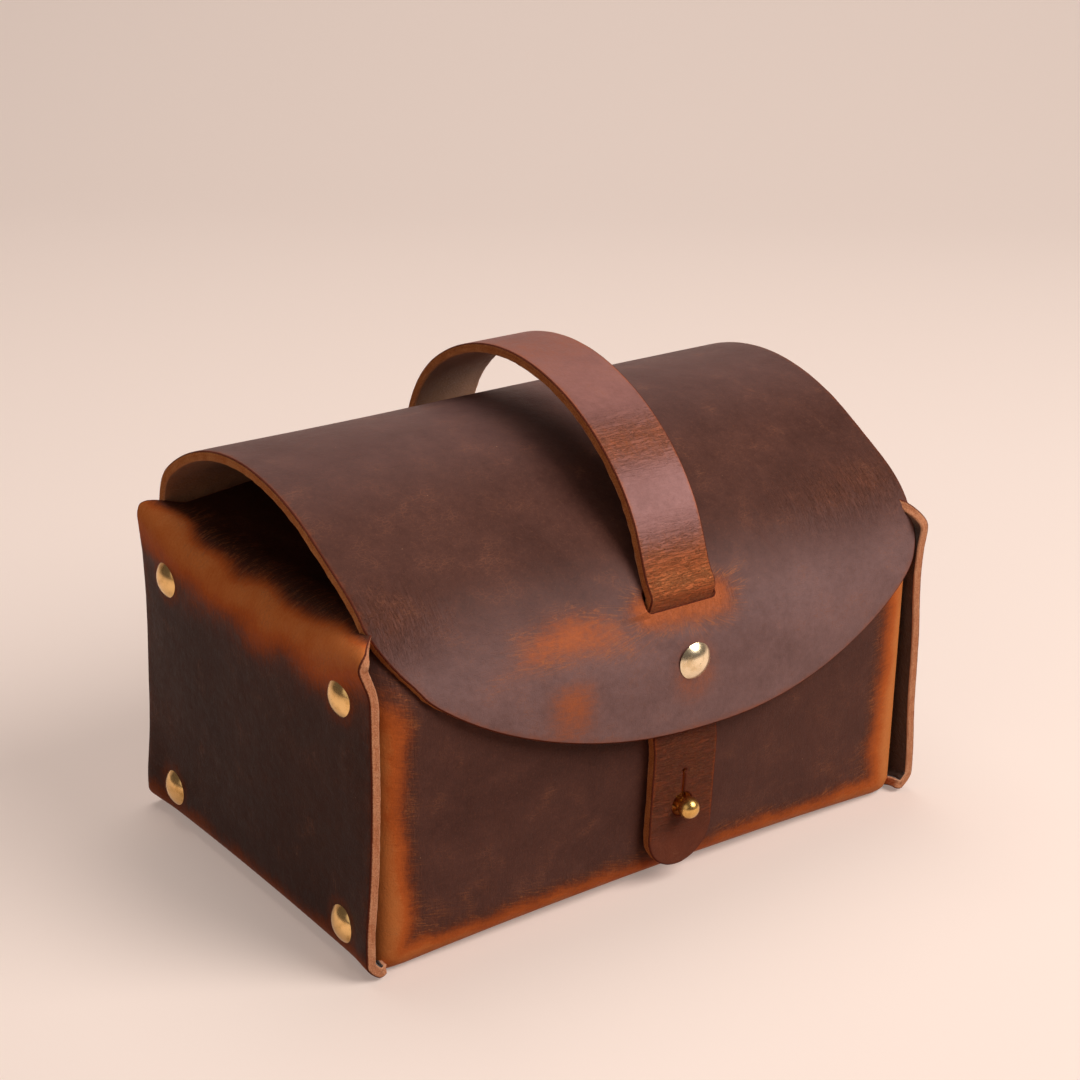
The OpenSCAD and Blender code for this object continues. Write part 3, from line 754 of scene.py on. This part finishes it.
def end_masks(side):
    def masks(u, v, xyz):
        x, y, z = xyz.T
        from_fold = u - fold_middle(side, v)
        wavy = wander(u, v, 31 + side, 30)
        lower = smooth(-27, -2, from_fold + 2.5 * wavy)
        upper = smooth(13, 1, from_fold + 2.2 * wavy)
        band = 0.9 * lower * upper
        foot = 0.8 * smooth(15, 2, z + 1.6 * wavy) * (u < 30)
        edge = 0.3 * smooth(61, 68.5, np.abs(v)) * smooth(6, 20, z)
        rivets = 0
        for rivet_y in (-RIVET_Y, RIVET_Y):
            for rivet_z in (RIVET_LOW_Z, RIVET_HIGH_Z):
                ring = bump(np.hypot(y - rivet_y, z - rivet_z) - RIVET_RIM, 3.0)
                rivets = np.maximum(rivets, 0.42 * ring)
        pull = np.maximum.reduce([band, foot, edge, rivets])
        wing = smooth(2, 13, from_fold + 2.2 * wavy)
        # Painted shade: the end walls are darkened below the fold, the left end, turned from the lamps, far
        # more than the right.
        wall_painted_shade = (0.5 if side == LEFT else 0.1) * smooth(94, 74, z)
        return {"pull": pull * (1 - 0.85 * wing),
                # Painted shade: the wing beyond the fold, tucked under the lid, goes almost black, and the
                # walls get theirs below.
                "shade": 0.62 * wing + wall_painted_shade,
                "crease": 0.2 * bump(band - 0.3, 0.25) * (from_fold > 0),
                "hair": bump(from_fold - 9 + 2.2 * wavy, 8) * smooth(62, 50, np.abs(v)),
                # Painted shade on the inner face, in the recesses at the front and rear corners below the
                # top.
                "hollow": 0.9 * smooth(42, 60, np.abs(v)) * smooth(104, 96, z),
                "flow": flow_along(v, u)}
    return masks


for side, side_name in ((LEFT, "left"), (RIGHT, "right")):
    end = leather(side_name + "_end_hide", [end_outline(side)], end_place(side), -side, 1.8, end_masks(side),
                  HIDE, seed=2 + side)
    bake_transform(end)
    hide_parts(side_name + "_end_panel", side_name + "_top_flap")


# ---------------------------------------------------------------- lid

HINGE_Z = WALL_H + 0.3
SLOT_RUN = 12.4
LID_BACK = [(HINGE_Z - SEAM_Z, 0), (12, 12), (16, 0), (16, 40), (74.44, 45), (97, 22), (24, 0), (32, 30)]
LID_FRONT = [(SLOT_RUN, 0), (6, -18), (2.96, 0), (7.2, 49), (40, 0)]
LID_RUNS = LID_BACK + LID_FRONT
LID_START = (HALF_D, SEAM_Z, 0)
BROW_S = run_length(LID_BACK)
HANG_S = BROW_S + run_length(LID_FRONT[:-1])
HANG_Z = 83.93
LID_LOW_Z = 55.0
LID_LEFT = 104.2
LID_RIGHT = 106.6
EDGE_LOW_X = 14.0
EDGE_HALF_LEFT = 120.0
EDGE_HALF_RIGHT = 99.7
EDGE_RISE = 66.0
EDGE_POWER_LEFT, EDGE_POWER_RIGHT = 2.0, 2.3
SLOT_LOW_S, SLOT_HIGH_S = BROW_S + 2.4, BROW_S + 9.4
SLOT_HALF = STRAP_W / 2 + 0.5
SLOT_ROUND = 1.5
ARCH_X, FAN_X, TONGUE_X = -39.0, -44.0, -41.5
LID_RIVET_S = HANG_S + 8.0


def lid_reach(s):
    """How far the lid's bends are eased, at arc length s."""
    return 3 * smooth(12, 30, s) + 13 * smooth(BROW_S - 60, BROW_S - 10, s)


def place_lid(u, v):
    """The lid's path with eased bends, hanging a little further back beside the strap."""
    y, z = softened(LID_START, LID_RUNS, v, lid_reach(v))
    off_strap = smooth(14, 92, np.abs(u - STRAP_X))
    hang = smooth(BROW_S - 20, HANG_S + 8, v)
    y = y + 4.4 * off_strap * hang
    sway = 0.35 * wander(u, v, 41, 120) * smooth(20, 60, v) * smooth(HANG_S + 20, HANG_S - 40, v)
    return np.stack([u, y, z + sway], -1)


def lid_edge_s(x):
    """Where the lid's front edge lies along its path, at x: two quarter ovals that meet at the bottom."""
    right = x > EDGE_LOW_X
    half = np.where(right, EDGE_HALF_RIGHT, EDGE_HALF_LEFT)
    share = np.clip(np.abs(x - EDGE_LOW_X) / half, 0, 1) ** np.where(right, EDGE_POWER_RIGHT, EDGE_POWER_LEFT)
    z = LID_LOW_Z + EDGE_RISE * (1 - np.sqrt(1 - share))
    s = np.linspace(BROW_S - 60, HANG_S + 40, 2000)
    _, height, _ = trace(LID_START, LID_RUNS, s)
    return np.interp(-z, -height, s)


def rounded(points, radius, steps=8):
    """The polyline's second point, turned into a bend that starts at radius from it."""
    before, corner, after = (np.array(p, float) for p in points)
    before = corner + radius * (before - corner) / np.linalg.norm(before - corner)
    after = corner + radius * (after - corner) / np.linalg.norm(after - corner)
    t = np.linspace(0, 1, steps)[:, None]
    return before * (1 - t) ** 2 + 2 * corner * t * (1 - t) + after * t ** 2


def lid_outline():
    """The lid's flat pattern, from its seam with the back wall round the curved front edge."""
    round_r = 7.0
    x = np.linspace(LID_RIGHT, -LID_LEFT, 220)
    front = np.stack([x, lid_edge_s(x)], -1)
    tip = front[0]
    kept = front[np.linalg.norm(front - tip, axis=1) > round_r]
    corner = rounded([tip - (0, 20), tip, kept[0]], round_r)
    step_s = HINGE_Z - SEAM_Z
    return np.concatenate([[(-LID_LEFT, step_s), (-FRONT_HALF_W, step_s), (-FRONT_HALF_W, 0),
                            (FRONT_HALF_W, 0), (FRONT_HALF_W, step_s), (LID_RIGHT, step_s)], corner, kept])


def lid_slot():
    left, right = STRAP_X - SLOT_HALF + SLOT_ROUND, STRAP_X + SLOT_HALF - SLOT_ROUND
    low, high = SLOT_LOW_S + SLOT_ROUND, SLOT_HIGH_S - SLOT_ROUND
    corners = ((left, low, 180), (right, low, 270), (right, high, 0), (left, high, 90))
    return np.concatenate([arc((x, s), SLOT_ROUND, first, first + 90, 0.4) for x, s, first in corners])


def lid_masks(u, v, xyz):
    """The worn places: a halo round the slot, an arch with a fan of fibres and a tongue below it, two
    patches of wrinkles at the sides, a spot by the rivet, and the rims."""
    across = np.clip(np.abs(u - STRAP_X) - SLOT_HALF, 0, None)
    along = v - SLOT_HIGH_S
    reach = np.hypot(across, along)
    around = np.arctan2(along, u - STRAP_X)
    corners = 0.75 + 0.25 * np.abs(np.cos(around)) + 0.12 * wander(around * 12, 0 * u, 43, 14)
    halo = 0.72 * smooth(17, 0, reach / corners) ** 1.6 * smooth(-13, -3, along)
    below = v - BROW_S
    arch_at = 10.5 + 0.009 * (u - ARCH_X) ** 2
    arch = 0.6 * bump(below - arch_at, 8.0) * bump(u - ARCH_X, 23.0)
    fan = 0.25 * bump(np.hypot((u - FAN_X) / 3.2, (below - 14) / 1.3), 7.0)
    tongue = 0.5 * bump(np.abs((u - TONGUE_X) / 9.0) ** 1.3, 1.0)
    tongue = tongue * smooth(19, 31, below) * smooth(54, 34, below)
    wrinkles = 0.16 * bump(np.hypot((u - 88) / 2.6, below + 13), 13.0)
    wrinkles = wrinkles + 0.16 * bump(np.hypot((u + 97) / 1.2, below + 8), 13.0)
    rivet = 0.28 * smooth(13, 5, np.hypot(u - STRAP_X, (v - LID_RIVET_S) / 1.3))
    rim = 0.3 * smooth(2.2, 0.4, lid_edge_s(u) - v)
    side_rim = 0.35 * smooth(1.6, 0.3, np.minimum(u + LID_LEFT, LID_RIGHT - u))
    pull = np.maximum.reduce([halo, arch, fan, tongue, wrinkles, rivet, rim, side_rim])
    near = (reach < 30)[:, None]
    radial = flow_along(around * 22, np.hypot(u - STRAP_X, along))
    crest = BROW_S - 100
    # Wax bloom with painted sheen: greyer near the crest and much greyer on the hanging front, where the
    # light glances off.
    grey = 0.34 * smooth(BROW_S - 34, crest, v) + 0.08 + 0.72 * smooth(BROW_S - 16, HANG_S + 4, v)
    halo_rim = 0.8 * bump(halo - 0.3, 0.3) * (halo > 0.02)
    # Painted shade: the lid's top, back from the brow, is darkened a little.
    return {"pull": pull, "shade": 0.12 * smooth(BROW_S + 12, BROW_S - 20, v), "grey": grey,
            "crease": 1.5 * wrinkles + 0.2 * halo,
            "hair": np.maximum.reduce([halo_rim, 0.5 * bump(arch - 0.3, 0.25), 2 * fan]),
            "flow": np.where(near, radial, flow_along(v, u))}


lid_hide = leather("lid_hide", [lid_outline(), lid_slot()], place_lid, -1, 2.0, lid_masks, LID_HIDE, seed=5)
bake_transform(lid_hide)
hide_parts("lid")


# ---------------------------------------------------------------- strap and closing tab

STRAP_START = (70.644, 101.395, 12.0)
STRAP_RUNS = [(15.29, 0), (49, 43.5), (71.19, 43.5), (79, 61), (1.8, 0), (8, -11), (3, 0),
              (4.2, 50), (5.97, 0), (1, -50), (0.5, 0), (9.2, -18), (2.96, 0), (4, 49), (60, 0)]
TAB_TOP_Z = 54.5
STRAP_HANG_S = run_length(STRAP_RUNS[:-1])
STRAP_END_S = STRAP_HANG_S + HANG_Z - TAB_END_Z
SLOT_S = run_length(STRAP_RUNS[:7])
DIVE_S = run_length(STRAP_RUNS[:10])
LEAD_S = 4.08
DIVE_LEAD_S = 11.9
TAB_LEAN = 0.04
HOLE_S = STRAP_END_S - (STUD_Z - TAB_END_Z)
HOLE_R = 3.85
SLIT_LENGTH = 7.4
SLIT_HALF = 0.4


def strap_on_lid(v):
    """The lid's arc length beside the strap's arc length v, from the slot on."""
    lead, dive = BROW_S + LEAD_S, BROW_S + DIVE_LEAD_S
    return np.interp(v, [SLOT_S - 60, SLOT_S, DIVE_S, DIVE_S + 100], [lead - 60, lead, dive, dive + 100])


def place_strap(u, v):
    """The strap's path, moved with the lid's eased bends where it lies on the lid. The tab leans sideways."""
    y, z, _ = trace(STRAP_START, STRAP_RUNS, v)
    s = strap_on_lid(v)
    sharp_y, sharp_z, _ = trace(LID_START, LID_RUNS, s)
    soft_y, soft_z = softened(LID_START, LID_RUNS, s, lid_reach(s))
    with_lid = smooth(SLOT_S - 34, SLOT_S - 4, v)
    y = y + (soft_y - sharp_y) * with_lid
    z = z + (soft_z - sharp_z) * with_lid
    below = np.clip(TAB_TOP_Z - z, 0, None) * (v > STRAP_HANG_S)
    x = STRAP_X + u + smooth(0, 8, below) * TAB_LEAN * (z - STUD_Z) * (v > STRAP_HANG_S)
    handle = smooth(0, 40, v) * smooth(SLOT_S, SLOT_S - 40, v)
    sway = 0.5 * wander(v, u * 0.2, 51, 130) * handle
    return np.stack([x + sway, y, z], -1)


def strap_outline():
    r = STRAP_W / 2
    return np.concatenate([arc((0, r), r, 180, 360), arc((0, STRAP_END_S - r), r, 0, 180)])


def buttonhole():
    """The stud's hole, and above it a slit that ends in a small round."""
    slit_s = HOLE_S - HOLE_R - SLIT_LENGTH
    return np.array([*arc((0, HOLE_S), HOLE_R, -84, 264, 0.5), (-SLIT_HALF, slit_s),
                     *arc((0, slit_s - 0.2), 2 * SLIT_HALF, 150, 390, 0.4), (SLIT_HALF, slit_s)])


def strap_masks(u, v, xyz):
    """Pulled up and wrinkled at the slot, less so at mid handle, on top, over the hole and on the rims."""
    near_slot = bump(v - SLOT_S + 2, 12)
    middle = bump(v - (SLOT_S - 48), 9)
    top = bump(v - 96, 26)
    above = smooth(26, 12, np.abs(v - (HOLE_S - 12)))
    rim = 0.5 * smooth(STRAP_W / 2 - 1.3, STRAP_W / 2 - 0.3, np.abs(u))
    pull = np.maximum.reduce([0.85 * near_slot, 0.4 * middle, 0.25 * top, rim,
                              0.24 * above, 0.3 * smooth(7.5, 4.5, np.hypot(u, v - HOLE_S))])
    crease = np.maximum.reduce([near_slot, 0.45 * middle, 0.4 * above])
    # Wax bloom with painted sheen: strongest on the handle above the slot, where the light glances off; none
    # past the slot.
    grey = 0.55 + 0.65 * bump(v - (SLOT_S - 25), 17)
    return {"pull": pull, "shade": 0.0, "grey": grey * (v < SLOT_S + 8), "crease": crease,
            "flow": flow_along(u, v)}


strap_hide = leather("strap_hide", [strap_outline(), buttonhole()], place_strap, -1, 1.1, strap_masks,
                     STRAP_HIDE, seed=8, ragged=0.09)
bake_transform(strap_hide)
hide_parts("handle_strap", "closing_tab")


# ---------------------------------------------------------------- brass

CAP_BRASS = brass("cap_brass", rgb(240, 196, 130), rgb(212, 164, 98), 0.17)
# The lid rivet's brass is paler than the caps': a painted highlight on the cap that faces the light.
LID_BRASS = brass("lid_brass", rgb(246, 226, 190), rgb(222, 196, 152), 0.2)
BALL_BRASS = brass("ball_brass", rgb(224, 178, 104), rgb(190, 142, 72), 0.24)
for name, node in nodes.items():
    if name.endswith(("_cap", "_post")) or name in ("ball_stud", "stud_screw"):
        node.data.materials.clear()
        metal = BALL_BRASS if name == "ball_stud" else LID_BRASS if name == "lid_rivet_cap" else CAP_BRASS
        node.data.materials.append(metal)


# ---------------------------------------------------------------- studio

CAMERA_AT = (-430.99, -581.60, 385.06)
YAW, PITCH, ROLL = 0.638, 0.382, 0.0194
LENS = 79.32


def area_light(name, place, aim, size, power, colour=(1, 1, 1)):
    light = bpy.data.lights.new(name, "AREA")
    light.shape = "DISK"
    light.size = size
    light.energy = power
    light.color = colour
    holder = bpy.data.objects.new(name, light)
    bpy.context.scene.collection.objects.link(holder)
    holder.location = place
    holder.rotation_euler = (Vector(aim) - Vector(place)).to_track_quat("-Z", "Y").to_euler()


AIM = (0, 0, 0.07)
area_light("key", (0.62, -1.0, 1.15), AIM, 1.1, 20.5, (1.0, 0.97, 0.94))
area_light("top", (0.1, 0.45, 1.3), AIM, 1.0, 6.0, (1.0, 0.98, 0.96))
area_light("fill", (-1.3, -0.5, 0.7), AIM, 1.2, 2.0, (1.0, 0.92, 0.84))


def seen_rays(p):
    """1 for the rays that show the backdrop: straight, mirrored or through glass."""
    path = p.node("ShaderNodeLightPath").outputs
    seen = p.math("MAXIMUM", path["Is Camera Ray"], path["Is Glossy Ray"])
    return p.math("MAXIMUM", seen, path["Is Transmission Ray"])


def backdrop_paint(name, pale, bounce, glow):
    """A pale wall and floor. The share glow of it shines for the camera alone, so shadows on it stay soft."""
    p = Paint(name)
    seen = seen_rays(p)
    tone = p.noise(p.node("ShaderNodeTexCoord").outputs["Object"], 1.2, 2.0)
    colour = p.mix(p.times(tone, 0.3), pale, rgb(228, 204, 188))
    colour = p.mix(seen, bounce, colour)
    return p.finish(Base_Color=colour, Roughness=0.9, Specular_IOR_Level=0.1, Emission_Color=colour,
                    Emission_Strength=p.times(seen, glow))


def studio():
    """A pale floor that curves up into a wall behind, turned to face the camera."""
    floor_front, wall_y, curve_r, wall_top, half = -3.0, 1.6, 0.8, 3.0, 4.0
    line = [(floor_front, 0.0), (wall_y - curve_r, 0.0)]
    line += [(wall_y - curve_r + curve_r * math.sin(a), curve_r - curve_r * math.cos(a))
             for a in np.linspace(0, math.pi / 2, 24)[1:]]
    line.append((wall_y, wall_top))
    turn = Matrix.Rotation(-YAW, 4, "Z")
    points = [turn @ Vector((x, y, z)) for y, z in line for x in (-half, half)]
    faces = [(2 * i, 2 * i + 1, 2 * i + 3, 2 * i + 2) for i in range(len(line) - 1)]
    mesh = bpy.data.meshes.new("studio_floor")
    mesh.from_pydata([tuple(p) for p in points], [], faces)
    mesh.polygons.foreach_set("use_smooth", [True] * len(faces))
    mesh.materials.append(backdrop_paint("studio_paint", rgb(230, 212, 202), rgb(150, 112, 86), 0.32))
    floor = bpy.data.objects.new("studio_floor", mesh)
    bpy.context.scene.collection.objects.link(floor)


studio()

world = bpy.data.worlds.new("soft_world")
bpy.context.scene.world = world
world.use_nodes = True
world.node_tree.nodes["Background"].inputs["Color"].default_value = rgb(232, 218, 210)
world.node_tree.nodes["Background"].inputs["Strength"].default_value = 0.15
bpy.context.scene.view_settings.view_transform = "Standard"


# ---------------------------------------------------------------- camera, at the photo's angle


def make_camera():
    ahead = Vector((math.sin(YAW) * math.cos(PITCH), math.cos(YAW) * math.cos(PITCH), -math.sin(PITCH)))
    level = Vector((math.cos(YAW), -math.sin(YAW), 0))
    above = level.cross(ahead)
    right = math.cos(ROLL) * level + math.sin(ROLL) * above
    up = -math.sin(ROLL) * level + math.cos(ROLL) * above
    data = bpy.data.cameras.new("camera")
    data.lens = LENS
    data.sensor_width = 36.0
    data.clip_start, data.clip_end = 0.05, 20.0
    camera = bpy.data.objects.new("camera", data)
    bpy.context.scene.collection.objects.link(camera)
    axes = Matrix((right, up, -ahead)).transposed().to_4x4()
    camera.matrix_world = Matrix.Translation(Vector(CAMERA_AT) * MM) @ axes
    bpy.context.scene.camera = camera


make_camera()
